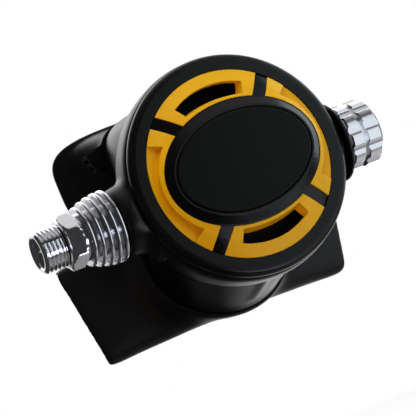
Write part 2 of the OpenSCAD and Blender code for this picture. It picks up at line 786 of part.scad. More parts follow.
// Fork with two feet round the poppet's stem, and a long arm to the middle of the diaphragm
module lever() {
    arm_w = 3;
    knuckle_top = lever_pivot_y - lever_t;
    tip_top = disc_top + disc_t + touch_gap;
    front = lever_pivot_x - foot_t / 2;
    color("#cfd1d3") {
        for (side = [-1, 1])
            translate([front, knuckle_top, valve_rise + side * (foot_inner + foot_w / 2) - foot_w / 2])
                cube([foot_t, valve_depth + foot_past_axis - knuckle_top, foot_w]);
        translate([front, knuckle_top, valve_rise - foot_inner - foot_w])
            cube([foot_t, lever_t, 2 * (foot_inner + foot_w)]);
        translate([lever_pivot_x, lever_pivot_y, valve_rise])
            cylinder(r = knuckle_r, h = 2 * (foot_inner + foot_w), center = true);
        translate([0, 0, valve_rise]) linear_extrude(arm_w, center = true) polygon([
            [front + foot_t, knuckle_top], [front + foot_t, lever_pivot_y], [front, lever_pivot_y],
            [0, tip_top + lever_tip_t], [-1.6, tip_top + lever_tip_t + 0.1], [-2.2, tip_top + 0.4],
            [-1.8, tip_top + 0.05], [0, tip_top], [front, knuckle_top]]);
    }
}

module lever_washer() {
    color("#b7babd") difference() {
        valve_bar(washer_r, washer_start, washer_start + washer_t);
        valve_bar(poppet_stem_r + fit_gap, washer_start - over, washer_start + washer_t + over);
    }
}

module lever_nut() {
    start = washer_start + washer_t;
    color("#c2a24c") difference() {
        valve_bar(nut_hex_af / 2 / cos(30), start, start + nut_hex_l, 6);
        valve_bar(poppet_stem_r + fit_gap, start - over, start + nut_hex_l + over);
    }
}

module poppet_spring() {
    color("#a9adb2") translate([spring_start, valve_depth, valve_rise]) rotate([0, 90, 0])
        coil(poppet_coil_r, poppet_wire_r, carrier_start - touch_gap - spring_start, 6);
}

// -------------------------------------------------------------- adjuster and knob

module spring_carrier() {
    color("#dedad0") difference() {
        union() {
            valve_bar(bore_r - fit_gap, carrier_start, carrier_start + carrier_l);
            valve_bar(spigot_r, carrier_start - carrier_spigot, carrier_start + 0.1);
        }
        valve_bar(spindle_r + fit_gap, carrier_start + 2, carrier_start + carrier_l + over);
    }
}

module adjustment_screw() {
    flange_end = screw_flange_start + screw_flange_l;
    color("#c8b27a") difference() {
        union() {
            valve_bar(spindle_r, carrier_start + 2 + touch_gap, screw_flange_start + 0.1);
            valve_bar(bore_r - fit_gap, screw_flange_start, flange_end);
            valve_bar(drive_r, flange_end - 0.1, knob_reach - 3.4);
        }
        valve_turned() translate([bore_r - 0.8, screw_seal_x - 0.6]) square([2, 1.2]);
        valve_bar(1.25, knob_reach - 9, knob_reach - 3.4 + over);
    }
}

module screw_o_ring() color("#0f0f0f") ring_seal(screw_seal_x, bore_r - 0.42, 0.36);

// Round clip in the barrel's groove, open at one side
module screw_clip() {
    color("#8d9094") difference() {
        valve_bar(bore_r + 0.5, clip_start, clip_start + screw_clip_t);
        valve_bar(drive_r + 0.4, clip_start - over, clip_start + screw_clip_t + over);
        translate([clip_start - over, valve_depth, valve_rise - 1]) cube([2, 8, 2]);
    }
}

// Black castellated nut that clamps the barrel to the case
module barrel_nut() {
    notch_w = 2.2;
    color("#1d1e1f") difference() {
        valve_turned() polygon([[0, nut_start], [nut_r - 0.3, nut_start], [nut_r, nut_start + 0.3],
            [nut_r, nut_start + nut_base_l], [nut_end_r, nut_end], [0, nut_end]]);
        valve_bar(barrel_r + fit_gap, nut_start - over, nut_end + over);
        for (k = [0 : nut_notches - 1])
            translate([nut_start + nut_base_l, valve_depth, valve_rise]) rotate([360 * k / nut_notches, 0, 0])
                translate([0, nut_end_r - 1.6, -notch_w / 2]) cube([nut_l, 4, notch_w]);
    }
}

// Two lobed bands with a turned groove between them
module adjustment_knob() {
    groove_x = knob_reach - knob_groove;
    groove_depth = 1.4;
    r = knob_d / 2;
    flute_r = 3.3;
    flute_depth = 0.7;
    color("#d9dcdf") difference() {
        valve_turned() polygon([[0, knob_start], [r - 0.8, knob_start], [r, knob_start + 0.8],
            [r, groove_x - 1.1], [r - groove_depth, groove_x - 0.2], [r - groove_depth, groove_x + 0.2],
            [r, groove_x + 1.1], [r, knob_reach - 1.2], [r - 1.2, knob_reach], [0, knob_reach]]);
        for (k = [0 : knob_lobes - 1])
            translate([knob_start - over, valve_depth, valve_rise]) rotate([360 * k / knob_lobes, 0, 0])
                translate([0, r + flute_r - flute_depth, 0]) rotate([0, 90, 0])
                    cylinder(r = flute_r, h = knob_l + 2 * over);
        valve_bar(knob_bore_r, knob_start - over, barrel_end + 0.3);
        valve_bar(drive_r + fit_gap, knob_start, knob_reach - 3.4);
        valve_bar(1.6, knob_reach - 4, knob_reach + over);
        valve_bar(3.2, knob_reach - 2.2, knob_reach + over);
    }
}

module knob_screw() {
    color("#9fa3a7") difference() {
        union() {
            valve_bar(3, knob_reach - 2.2, knob_reach - 0.4);
            valve_bar(1.2, knob_reach - 8.5, knob_reach - 2.1);
        }
        valve_bar(1.2, knob_reach - 1.6, knob_reach, 6);
    }
}

// -------------------------------------------------------------- exhaust

// Soft disc with a stub through the middle of its seat
module exhaust_valve() {
    lip = drum_seat + fit_gap;
    color("#9c9ea0") on_drum() {
        turned() polygon([[0, lip], [flap_r, lip], [flap_r, lip + 0.45], [6, lip + 1.3], [3, lip + 2.3], [0, lip + 2.5]]);
        slab(-1.2, lip + 0.1) circle(r = 1.45);
        turned() polygon([[0, -3.1], [1.4, -3.1], [2.3, -2.1], [2.3, -1.1], [0, -1.1]]);
    }
}

// Both halves of a symmetric piece, from its half on the knob's side
module both_sides() {
    children();
    mirror([1, 0, 0]) children();
}

// One rounded corner of the tee
module corner(x, depth, z, r) {
    translate([x, depth, z]) sphere(r = r, $fn = corner_sides);
}

// The duct on the knob's side, from the drum out past its open end; inset gives the hollow
module duct(inset) {
    r = tee_corner_r - inset * 0.5;
    past = inset > 0 ? 9 : 2;
    e = inset + r;
    end_top = -tee_foot_drop + tee_end_h;
    hull() {
        corner(0, drum_depth + 4 + e, tee_root_top - e, r);
        corner(0, drum_depth + 3.5 + e, tee_root_foot + e, r);
        corner(0, tee_back_depth - 4 - e, tee_root_top - tee_back_rise - e, r);
        corner(0, tee_back_depth - e, tee_root_foot + tee_back_rise + e, r);
        corner(tee_top_reach + past, tee_end_depth - 2 + e, end_top - e, r);
        corner(tee_foot_reach + past, tee_end_depth + 1 + e, -tee_foot_drop + e, r);
        corner(tee_top_reach + past - 8, tee_back_depth + 4 - e, end_top - tee_back_rise / 2 - e, r);
        corner(tee_foot_reach + past - 6, tee_back_depth + 6 - e, -tee_foot_drop + tee_back_rise + e, r);
    }
}

// Outline of both ducts from the front, with round corners at the open ends
module tee_outline() {
    r = tee_corner_r;
    top = tee_end_h - tee_foot_drop;
    hull() {
        translate([0, tee_root_top - r]) circle(r = r, $fn = hull_sides);
        for (side = [-1, 1]) {
            translate([side * (tee_top_reach - r), top - r]) circle(r = r, $fn = hull_sides);
            translate([side * (tee_foot_reach - r), -tee_foot_drop + r]) circle(r = r, $fn = hull_sides);
        }
    }
}

module exhaust_tee() {
    bore = drum_r + collar_gap;
    rim = tee_rim_r;
    slant = atan((tee_top_reach - tee_foot_reach) / tee_end_h);
    color("#1a1b1b") difference() {
        union() {
            intersection() {
                both_sides() duct(0);
                slab(drum_depth - 10, tee_back_depth + 10) tee_outline();
            }
            // Collar on the drum, closed behind it down to the throat
            on_drum() turned() polygon([[tee_throat_r, 0], [rim - 0.4, 0], [rim - 0.1, 0.3], [rim + 0.1, 2.5],
                [rim - 0.3, drum_l], [rim - 1.6, drum_l + 1.8], [rim - 4.5, drum_l + collar_back],
                [tee_throat_r, drum_l + collar_back]]);
            collar_swell(0, 1);
        }
        both_sides() duct(tee_wall);
        on_drum() slab(-collar_back, drum_l + 0.2) circle(r = bore);
        on_drum() slab(0, drum_l + collar_back + over) circle(r = tee_throat_r);
        // Open ends, cut to face outwards and back
        both_sides() translate([tee_foot_reach, tee_end_depth + 1, -tee_foot_drop])
            rotate([0, slant, 0]) rotate([0, 0, tee_mouth_turn])
                translate([0, -mouth_cut / 2, -mouth_cut / 2]) cube(mouth_cut);
    }
}

// -------------------------------------------------------------- mouthpiece

// Flat outline about the mouthpiece's own middle
module mouth_oval(a, b, up = 0, squareness = port_squareness) {
    translate([0, port_rise + up]) polygon(squared_oval(a, b, squareness));
}

module mouthpiece() {
    cone_end = flange_depth + 4;
    bend = [0, flange_depth + flange_bend_r - flange_t, port_rise];
    color("#202122") difference() {
        union() {
            slab(sleeve_start, port_depth) mouth_oval(sleeve_a, sleeve_b);
            difference() {
                hull() {
                    slab(port_depth - 1, port_depth) mouth_oval(sleeve_a, sleeve_b);
                    slab(cone_end - 1, cone_end)
                        mouth_oval(flange_l / 2 - 5, flange_h / 2 - 1, flange_up, flange_squareness);
                }
                translate(bend) cylinder(r = flange_bend_r - flange_t + 0.1, h = 2 * flange_reach, center = true);
            }
            // Lip flange, bent round the diver's face
            intersection() {
                slab(flange_depth - 8, flange_depth + 14)
                    mouth_oval(flange_l / 2, flange_h / 2, flange_up, flange_squareness);
                difference() {
                    translate(bend) cylinder(r = flange_bend_r, h = 2 * flange_reach, center = true);
                    translate(bend)
                        cylinder(r = flange_bend_r - flange_t, h = 2 * flange_reach + over, center = true);
                }
            }
            bite_tabs();
        }
        slab(sleeve_start - over, port_depth + 0.2) mouth_oval(port_a + sleeve_gap, port_b + sleeve_gap);
        slab(port_depth - 2.6, port_depth - 0.6)
            mouth_oval(port_a + port_bead + sleeve_gap, port_b + port_bead + sleeve_gap);
        slab(port_depth, flange_depth + 30) mouth_oval(bite_a, bite_b);
    }
}

// Two tabs held between the teeth, each with an upright stop at its end
module bite_tabs() {
    both_sides() translate([bite_a + 1, flange_depth - 1, port_rise]) {
        translate([0, 0, -tab_t / 2]) cube([tab_w, bite_reach, tab_t]);
        translate([0, bite_reach - 1.4, -tab_h / 2]) cube([tab_w, 2.4, tab_h]);
    }
}

module mouthpiece_tie() {
    a = sleeve_a + 0.1;
    b = sleeve_b + 0.1;
    head = [7.5, tie_w + 0.6, 7];
    color("#0e0f0f") difference() {
        union() {
            slab(tie_start, tie_start + tie_w) mouth_oval(a + tie_t, b + tie_t);
            on_tie_head(a + tie_t - tie_head_sink, head) cube(head);
        }
        slab(tie_start - 3, tie_start + tie_w + 3) mouth_oval(a, b);
        // Slots in the head's outer face
        on_tie_head(a + tie_t - tie_head_sink, head)
            for (low = [1.2, 4.2]) translate([-over, 1.4, low]) cube([2, tie_w - 2.2, 1.6]);
    }
}

// Corner of the tie's locking head, which leans on the strap's shoulder
module on_tie_head(strap_a, head) {
    translate([-strap_a - head[0], tie_start - 0.3, port_rise + tie_head_up]) rotate([0, -tie_head_lean, 0])
        translate([0, 0, -head[2] / 2]) children();
}

// -------------------------------------------------------------- the set, moved to the inlet's mouth

module place() {
    translate([inlet_reach, -valve_depth, -valve_rise]) children();
}

place() case();
place() clamp_ring();
place() front_cover();
place() insert_top();
place() insert_bottom();
place() insert_left();
place() insert_right();
place() purge_button();
place() purge_spring();
place() purge_clip();
place() slip_ring();
place() diaphragm();
place() diaphragm_disc();
place() valve_barrel();
place() barrel_o_rings();
place() heat_exchanger();
place() inlet_fitting();
place() inlet_o_ring();
place() orifice();
place() orifice_o_ring();
place() poppet();
place() poppet_seat();
place() poppet_spring();
place() lever();
place() lever_washer();
place() lever_nut();
place() spring_carrier();
place() adjustment_screw();
place() screw_o_ring();
place() screw_clip();
place() barrel_nut();
place() adjustment_knob();
place() knob_screw();
place() exhaust_valve();
place() exhaust_tee();
place() mouthpiece();
place() mouthpiece_tie();
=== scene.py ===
import math

import bmesh
import bpy
from mathutils import Matrix, Vector


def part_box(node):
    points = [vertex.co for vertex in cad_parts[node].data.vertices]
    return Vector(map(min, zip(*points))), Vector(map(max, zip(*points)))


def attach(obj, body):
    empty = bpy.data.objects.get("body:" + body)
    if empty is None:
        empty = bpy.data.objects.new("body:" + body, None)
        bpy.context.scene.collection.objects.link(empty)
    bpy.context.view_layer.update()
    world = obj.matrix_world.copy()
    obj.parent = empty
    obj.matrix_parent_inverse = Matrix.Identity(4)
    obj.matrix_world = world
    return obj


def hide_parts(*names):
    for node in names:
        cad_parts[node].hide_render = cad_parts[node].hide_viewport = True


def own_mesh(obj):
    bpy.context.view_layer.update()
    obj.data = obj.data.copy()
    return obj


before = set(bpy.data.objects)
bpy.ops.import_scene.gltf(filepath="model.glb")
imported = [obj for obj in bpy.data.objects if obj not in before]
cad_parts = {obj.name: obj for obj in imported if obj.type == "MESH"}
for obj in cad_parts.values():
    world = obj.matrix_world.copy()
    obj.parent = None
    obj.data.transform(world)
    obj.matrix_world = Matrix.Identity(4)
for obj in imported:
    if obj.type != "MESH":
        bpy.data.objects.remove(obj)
bpy.context.scene.view_settings.view_transform = "Standard"
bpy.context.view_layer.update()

# ------------------------------------------------------------------ case
# The body of the second stage, one moulding of glass-filled nylon with bosses for the valve,
# a drum for the exhaust and an oval port for the mouthpiece. Its skin is satin, with a grain
# that the spark-eroded mould leaves.


def linear(colour):
    """Linear RGBA of an sRGB hex colour."""
    parts = [int(colour[i : i + 2], 16) / 255 for i in (1, 3, 5)]
    return [p / 12.92 if p <= 0.04045 else ((p + 0.055) / 1.055) ** 2.4 for p in parts] + [1]


def add(material, kind, links=None, **settings):
    """Adds a node: settings are its properties or sockets' values, and links feed its sockets."""
    new = material.node_tree.nodes.new("ShaderNode" + kind)
    for name, value in settings.items():
        if hasattr(new, name):
            setattr(new, name, value)
        else:
            new.inputs[name.replace("_", " ")].default_value = value
    for name, source in (links or {}).items():
        material.node_tree.links.new(source, new.inputs[name])
    return new


def blank(name):
    """A material with an empty node tree."""
    material = bpy.data.materials.new(name)
    material.use_nodes = True
    material.node_tree.nodes.clear()
    return material


def per_metre(size_mm):
    """Texture scale at which one cell of a pattern is about size_mm wide."""
    return 1000 / size_mm


def dress(node, material):
    """Gives a CAD node its material."""
    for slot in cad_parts[node].material_slots:
        slot.material = material


# A near black that never goes flat: wide soft highlights wander a little, and a fine grain breaks
# them up. The real grain is 0.1 mm, drawn at 0.5 mm so that it shows.
moulded_nylon = blank("black_nylon_moulded_satin")
place = add(moulded_nylon, "TexCoord").outputs["Object"]
flow = add(moulded_nylon, "TexNoise", {"Vector": place}, Scale=per_metre(14), Detail=3)
grain = add(moulded_nylon, "TexNoise", {"Vector": place}, Scale=per_metre(0.5), Detail=2)
tone = add(moulded_nylon, "Mix", {"Factor": flow.outputs["Fac"]}, data_type="RGBA")
tone.inputs["A"].default_value = linear("#080909")
tone.inputs["B"].default_value = linear("#0e0f0f")
rough = add(moulded_nylon, "MapRange", {"Value": flow.outputs["Fac"]}, To_Min=0.3, To_Max=0.42)
relief = add(moulded_nylon, "Bump", {"Height": grain.outputs["Fac"]}, Strength=0.25, Distance=0.00003)
skin = add(
    moulded_nylon,
    "BsdfPrincipled",
    {"Base Color": tone.outputs["Result"], "Roughness": rough.outputs["Result"], "Normal": relief.outputs["Normal"]},
    IOR=1.52,
    Specular_IOR_Level=0.25,
)
add(moulded_nylon, "OutputMaterial", {"Surface": skin.outputs["BSDF"]})
dress("case", moulded_nylon)

# ------------------------------------------------------------------ clamp ring
# The threaded ring that clamps the cover and the diaphragm to the case. It is moulded in the same
# nylon as the case, from a smoother tool.

# A tighter sheen than the case's, so that one thin line of light runs along the rounded rim
ring_nylon = blank("black_nylon_ring_satin")
place = add(ring_nylon, "TexCoord").outputs["Object"]
flow = add(ring_nylon, "TexNoise", {"Vector": place}, Scale=per_metre(9), Detail=4)
grain = add(ring_nylon, "TexNoise", {"Vector": place}, Scale=per_metre(0.4), Detail=2)
tone = add(ring_nylon, "Mix", {"Factor": flow.outputs["Fac"]}, data_type="RGBA")
tone.inputs["A"].default_value = linear("#090909")
tone.inputs["B"].default_value = linear("#0e0e0e")
rough = add(ring_nylon, "MapRange", {"Value": flow.outputs["Fac"]}, To_Min=0.26, To_Max=0.34)
relief = add(ring_nylon, "Bump", {"Height": grain.outputs["Fac"]}, Strength=0.3, Distance=0.00003)
skin = add(
    ring_nylon,
    "BsdfPrincipled",
    {"Base Color": tone.outputs["Result"], "Roughness": rough.outputs["Result"], "Normal": relief.outputs["Normal"]},
    IOR=1.52,
    Specular_IOR_Level=0.25,
)
add(ring_nylon, "OutputMaterial", {"Surface": skin.outputs["BSDF"]})
dress("clamp_ring", ring_nylon)

# ------------------------------------------------------------------ front cover
# The black frame under the clamp ring: an oval that guides the purge button, on four spokes.
# Moulded nylon from a polished tool, so it is glossier than the case.

# Low, even roughness and softened edges: a clear line of light follows the oval and the spokes
polished_nylon = blank("black_nylon_polished_mould")
place = add(polished_nylon, "TexCoord").outputs["Object"]
flow = add(polished_nylon, "TexNoise", {"Vector": place}, Scale=per_metre(7), Detail=3)
rough = add(polished_nylon, "MapRange", {"Value": flow.outputs["Fac"]}, To_Min=0.2, To_Max=0.3)
edge = add(polished_nylon, "Bevel", samples=6, Radius=0.0003)
skin = add(
    polished_nylon,
    "BsdfPrincipled",
    {"Roughness": rough.outputs["Result"], "Normal": edge.outputs["Normal"]},
    Base_Color=linear("#080809"),
    IOR=1.52,
    Specular_IOR_Level=0.28,
)
add(polished_nylon, "OutputMaterial", {"Surface": skin.outputs["BSDF"]})
dress("front_cover", polished_nylon)

# ------------------------------------------------------------------ yellow inserts
# Four curved panels between the spokes, moulded in yellow ABS and set on the ledge of the front
# cover. Two have a slot for the water and two a sunk floor.

# A warm, half matt yellow: light sinks a little way in, so the hollows turn orange and not grey,
# and the moulded edges look soft
yellow_abs = blank("yellow_abs_satin")
place = add(yellow_abs, "TexCoord").outputs["Object"]
flow = add(yellow_abs, "TexNoise", {"Vector": place}, Scale=per_metre(6), Detail=4)
grain = add(yellow_abs, "TexNoise", {"Vector": place}, Scale=per_metre(0.4), Detail=2)
tone = add(yellow_abs, "Mix", {"Factor": flow.outputs["Fac"]}, data_type="RGBA")
tone.inputs["A"].default_value = linear("#f0b200")
tone.inputs["B"].default_value = linear("#f5bb00")
edge = add(yellow_abs, "Bevel", samples=6, Radius=0.0004)
relief = add(
    yellow_abs,
    "Bump",
    {"Height": grain.outputs["Fac"], "Normal": edge.outputs["Normal"]},
    Strength=0.15,
    Distance=0.00003,
)
skin = add(
    yellow_abs,
    "BsdfPrincipled",
    {"Base Color": tone.outputs["Result"], "Normal": relief.outputs["Normal"]},
    Roughness=0.42,
    IOR=1.5,
    Specular_IOR_Level=0.25,
    Subsurface_Weight=0.1,
    Subsurface_Radius=(0.0012, 0.0005, 0.0001),
    Subsurface_Scale=1.0,
)
add(yellow_abs, "OutputMaterial", {"Surface": skin.outputs["BSDF"]})
for panel in ("insert_top", "insert_bottom", "insert_left", "insert_right"):
    dress(panel, yellow_abs)

# ------------------------------------------------------------------ purge button
# The oval plate in the middle, pressed with a finger to let air through. It is moulded in nylon
# with a fine grain and carries no marking.

# A weak sheen on a fine grain, which makes the plate the quietest black of the front
grained_nylon = blank("black_nylon_fine_grain")
place = add(grained_nylon, "TexCoord").outputs["Object"]
grain = add(grained_nylon, "TexNoise", {"Vector": place}, Scale=per_metre(0.45), Detail=3)
edge = add(grained_nylon, "Bevel", samples=6, Radius=0.0003)
relief = add(
    grained_nylon,
    "Bump",
    {"Height": grain.outputs["Fac"], "Normal": edge.outputs["Normal"]},
    Strength=0.5,
    Distance=0.00004,
)
skin = add(
    grained_nylon,
    "BsdfPrincipled",
    {"Normal": relief.outputs["Normal"]},
    Base_Color=linear("#0a0b0b"),
    Roughness=0.3,
    Specular_IOR_Level=0.13,
    IOR=1.52,
)
add(grained_nylon, "OutputMaterial", {"Surface": skin.outputs["BSDF"]})
dress("purge_button", grained_nylon)

# ------------------------------------------------------------------ heat exchanger and adjustment knob
# Both are turned from brass and chrome plated. The exchanger's fins warm the cold air that comes
# in, and the knob's two lobed bands give wet fingers a hold.

# Bright metal a little short of a mirror, whose fine cutter marks stretch each reflection
turned_chrome = blank("chrome_plate_on_turned_brass")
place = add(turned_chrome, "TexCoord").outputs["Object"]
# The marks are 0.1 mm apart on the real piece and 0.35 mm here, so that they show
marks = add(turned_chrome, "TexWave", {"Vector": place}, Scale=per_metre(0.35) / 6.28, Distortion=0.6, Detail=1)
cloud = add(turned_chrome, "TexNoise", {"Vector": place}, Scale=per_metre(5), Detail=3)
rough = add(turned_chrome, "MapRange", {"Value": cloud.outputs["Fac"]}, To_Min=0.14, To_Max=0.24)
relief = add(turned_chrome, "Bump", {"Height": marks.outputs["Fac"]}, Strength=0.12, Distance=0.00002)
skin = add(
    turned_chrome,
    "BsdfPrincipled",
    {"Roughness": rough.outputs["Result"], "Normal": relief.outputs["Normal"]},
    Base_Color=linear("#e3e3e8"),
    Metallic=1.0,
)
add(turned_chrome, "OutputMaterial", {"Surface": skin.outputs["BSDF"]})
for turned in ("heat_exchanger", "adjustment_knob"):
    dress(turned, turned_chrome)

# ------------------------------------------------------------------ barrel nut
# The black castellated nut that clamps the valve barrel beside the knob. It is moulded in the
# case's nylon and screwed onto the barrel's end.

dress("barrel_nut", moulded_nylon)

# ------------------------------------------------------------------ hose inlet
# The inlet is turned from brass, threaded 9/16 inch by 18 turns to the inch, milled to a
# hexagon and chrome plated. This piece has the thread, which the solid leaves plain.

case_axis = Vector((0.0716, -0.0133, 0.0029))


def around(count):
    """Cosine and sine of count equal steps round a circle."""
    return [(math.cos(2 * math.pi * k / count), math.sin(2 * math.pi * k / count)) for k in range(count)]


def skin_mesh(name, rings, closed=True):
    """A mesh from rings of points, each joined to the next; closed also joins the last to the first."""
    mesh = bpy.data.meshes.new(name)
    sides = len(rings[0])
    faces = []
    for i in range(len(rings) if closed else len(rings) - 1):
        for k in range(sides):
            a, b = i * sides, (i + 1) % len(rings) * sides
            faces.append((a + k, a + (k + 1) % sides, b + (k + 1) % sides, b + k))
    mesh.from_pydata([p for ring in rings for p in ring], [], faces)
    shape = bmesh.new()
    shape.from_mesh(mesh)
    bmesh.ops.recalc_face_normals(shape, faces=shape.faces)
    shape.to_mesh(mesh)
    shape.free()
    mesh.shade_smooth()
    mesh.set_sharp_from_angle(angle=math.radians(35))
    piece = bpy.data.objects.new(name, mesh)
    bpy.context.scene.collection.objects.link(piece)
    return piece


# Sizes of the inlet in mm
thread_pitch = 25.4 / 18
thread_r = 7.14
thread_depth = 0.62 * thread_pitch
thread_l = 8.2
flats = 16.5


def thread_radius(x, turn):
    """Radius on the 60 degree thread, with rounded crests and roots, run out at both ends."""
    phase = (x / thread_pitch - turn) % 1
    wave = abs(2 * phase - 1)
    wave = min(max((wave - 0.1) / 0.8, 0), 1)
    ease = min(1, max(0, (x - 0.15) / 0.9), max(0, (thread_l - 0.3 - x) / 0.9))
    return thread_r - thread_depth * (1 - wave) * ease


def hex_radius(turn, limit):
    """Radius on the hexagon's flats, kept inside its chamfer; it came to rest turned by 13 degrees."""
    angle = (360 * turn - 13 + 30) % 60 - 30
    return min(limit, flats / 2 / math.cos(math.radians(angle)))


rings = []
sides = 144
walls = [(17.0, 3.2), (9.8, 3.2), (9.0, 4.8), (0.9, 4.8), (0.3, 5.15), (0.06, 5.45), (0.0, 5.75)]
walls += [(0.02, 6.1), (0.25, 6.3)]
for x, r in walls:
    rings.append([Vector((x, r * c, r * s)) for c, s in around(sides)])
# The threaded length, one ring after another, with its mouth chamfered
steps = 110
for i in range(steps + 1):
    x = 0.35 + (thread_l - 0.55) * i / steps
    ring = []
    for k, (c, s) in enumerate(around(sides)):
        r = min(thread_radius(x, k / sides), 6.35 + 1.1 * (x - 0.3))
        ring.append(Vector((x, r * c, r * s)))
    rings.append(ring)
# Undercut, washer face, hexagon and stem: place along the axis, radius, and whether it is six-sided
collar = [(8.1, 6.25, 0), (8.3, 6.2, 0), (8.45, 7.3, 0), (8.6, 7.75, 0), (9.0, 7.8, 0), (9.1, 7.95, 1)]
collar += [(9.25, 8.3, 1), (9.6, 8.9, 1), (10.0, 9.35, 1), (10.4, 9.53, 1), (13.6, 9.53, 1), (14.0, 9.3, 1)]
collar += [(14.35, 8.8, 1), (14.5, 8.3, 1), (14.5, 4.75, 0), (26.6, 4.75, 0), (26.8, 4.5, 0), (26.8, 3.2, 0)]
for x, r, six in collar:
    ring = []
    for k, (c, s) in enumerate(around(sides)):
        radius = hex_radius(k / sides, r) if six else r
        ring.append(Vector((x, radius * c, radius * s)))
    rings.append(ring)
inlet = skin_mesh("inlet_with_thread", [[p / 1000 for p in ring] for ring in rings])
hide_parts("inlet_fitting")

# Almost a mirror: hard bright and dark bands along the thread and on the flats
polished_chrome = blank("chrome_plate_polished")
place = add(polished_chrome, "TexCoord").outputs["Object"]
cloud = add(polished_chrome, "TexNoise", {"Vector": place}, Scale=per_metre(3), Detail=3)
rough = add(polished_chrome, "MapRange", {"Value": cloud.outputs["Fac"]}, To_Min=0.04, To_Max=0.1)
skin = add(
    polished_chrome,
    "BsdfPrincipled",
    {"Roughness": rough.outputs["Result"]},
    Base_Color=linear("#e6e6ea"),
    Metallic=1.0,
)
add(polished_chrome, "OutputMaterial", {"Surface": skin.outputs["BSDF"]})
inlet.data.materials.append(polished_chrome)
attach(inlet, "regulator")

# ------------------------------------------------------------------ exhaust tee
# Two ducts that lead the bubbles away to both sides, moulded in one piece of dull thermoplastic
# rubber and stretched over the drum's rim.

# A softer sheen than the nylon's and a coarser grain, with a trace of violet in the black
rubber = blank("black_rubber_moulded_dull")
place = add(rubber, "TexCoord").outputs["Object"]
flow = add(rubber, "TexNoise", {"Vector": place}, Scale=per_metre(18), Detail=3)
grain = add(rubber, "TexNoise", {"Vector": place}, Scale=per_metre(0.5), Detail=3)
tone = add(rubber, "Mix", {"Factor": flow.outputs["Fac"]}, data_type="RGBA")
tone.inputs["A"].default_value = linear("#0b0a0c")
tone.inputs["B"].default_value = linear("#121114")
relief = add(rubber, "Bump", {"Height": grain.outputs["Fac"]}, Strength=0.4, Distance=0.00004)
skin = add(
    rubber,
    "BsdfPrincipled",
    {"Base Color": tone.outputs["Result"], "Normal": relief.outputs["Normal"]},
    Roughness=0.46,
    IOR=1.5,
    Specular_IOR_Level=0.25,
)
add(rubber, "OutputMaterial", {"Surface": skin.outputs["BSDF"]})


def settle(piece):
    """Turns what a piece's modifiers make of it into its mesh."""
    bpy.context.view_layer.update()
    shape = bpy.data.meshes.new_from_object(piece.evaluated_get(bpy.context.evaluated_depsgraph_get()))
    piece.modifiers.clear()
    piece.data = shape


def moulded_copy(node, name, voxel):
    """A copy of a node's solid as one even mesh, whose edges a later smoothing can round."""
    piece = bpy.data.objects.new(name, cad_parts[node].data.copy())
    bpy.context.scene.collection.objects.link(piece)
    piece.data.materials.clear()
    remesh = piece.modifiers.new("voxels", "REMESH")
    remesh.mode = "VOXEL"
    remesh.voxel_size = voxel
    remesh.use_smooth_shade = True
    settle(piece)
    piece.data.name = name
    return piece


def soften(piece, rounds, weight):
    """Rounds a mesh off: rounds of smoothing, each vertex as far as weight says at its point."""
    group = piece.vertex_groups.new(name="soft")
    for vertex in piece.data.vertices:
        share = weight(vertex.co)
        if share > 0.02:
            group.add([vertex.index], share, "REPLACE")
    smooth = piece.modifiers.new("soften", "SMOOTH")
    smooth.factor = 0.5
    smooth.iterations = rounds
    smooth.vertex_group = "soft"
    settle(piece)
    piece.vertex_groups.clear()


def ramp(value, low, high):
    """0 below low, 1 above high and a smooth rise between."""
    share = min(max((value - low) / (high - low), 0), 1)
    return share * share * (3 - 2 * share)


def tee_body(point):
    """1 in the ducts' walls and less towards their open ends, which stay crisper."""
    return 1 - 0.7 * ramp(abs(point.x - case_axis.x), 0.03, 0.05)


tee = moulded_copy("exhaust_tee", "tee_moulded", 0.0004)
soften(tee, 940, tee_body)
# The softening takes the ends back a little, so the piece is drawn out to its solid's length again
reach = max(abs(vertex.co.x - case_axis.x) for vertex in tee.data.vertices)
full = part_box("exhaust_tee")[1][0] - case_axis.x
for vertex in tee.data.vertices:
    vertex.co.x = case_axis.x + (vertex.co.x - case_axis.x) * full / reach
tee.data.materials.append(rubber)
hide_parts("exhaust_tee")
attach(tee, "regulator")

# ------------------------------------------------------------------ case skin
# The case again as it leaves the mould, with soft flowing transitions from the band to the
# valve's bosses, the drum and the port. Every edge is softened alike, seats and bores as well,
# and the body draws in behind the band, which the solid does not.

valve_depth, valve_rise = 13.3, -2.9
case_skin = moulded_copy("case", "case_moulded", 0.0004)
soften(case_skin, 122, lambda point: 1)
# The waist, 4.5 mm at its deepest on each side, between the bosses and the port
waist_depth = 0.0045
for vertex in case_skin.data.vertices:
    place = (vertex.co - case_axis) * 1000
    waist = ramp(place.y, 16.8, 20) * (1 - ramp(place.y, 26, 56)) * ramp(place.z, -8, 3)
    valve = math.hypot(place.y - valve_depth, place.z - valve_rise)
    waist *= ramp(valve, 12.5, 19) * ramp(abs(place.x), 10, 26)
    vertex.co.x -= math.copysign(waist_depth * waist, place.x)
thin = case_skin.modifiers.new("thin", "DECIMATE")
thin.ratio = 0.35
settle(case_skin)
case_skin.data.materials.append(moulded_nylon)
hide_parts("case")
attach(case_skin, "regulator")

# ------------------------------------------------------------------ mouthpiece
# Black silicone, soft and satin: a sleeve on the oval port, a flare, a lip flange that follows
# the diver's face and two tabs to bite on.

port_rise = 23.5
face_radius = 140


def port_ring(depth, half_l, half_h, rise=0.0, square=2.9, bend=0.0):
    """One oval ring about the port's axis, bent back at its ends to the curve of the face."""
    ring = []
    for c, s in around(96):
        x = half_l * math.copysign(abs(c) ** (2 / square), c)
        z = half_h * math.copysign(abs(s) ** (2 / square), s)
        back = bend * (face_radius - math.sqrt(face_radius**2 - x**2))
        ring.append(case_axis + Vector((x, depth + back, port_rise + rise + z)) / 1000)
    return ring


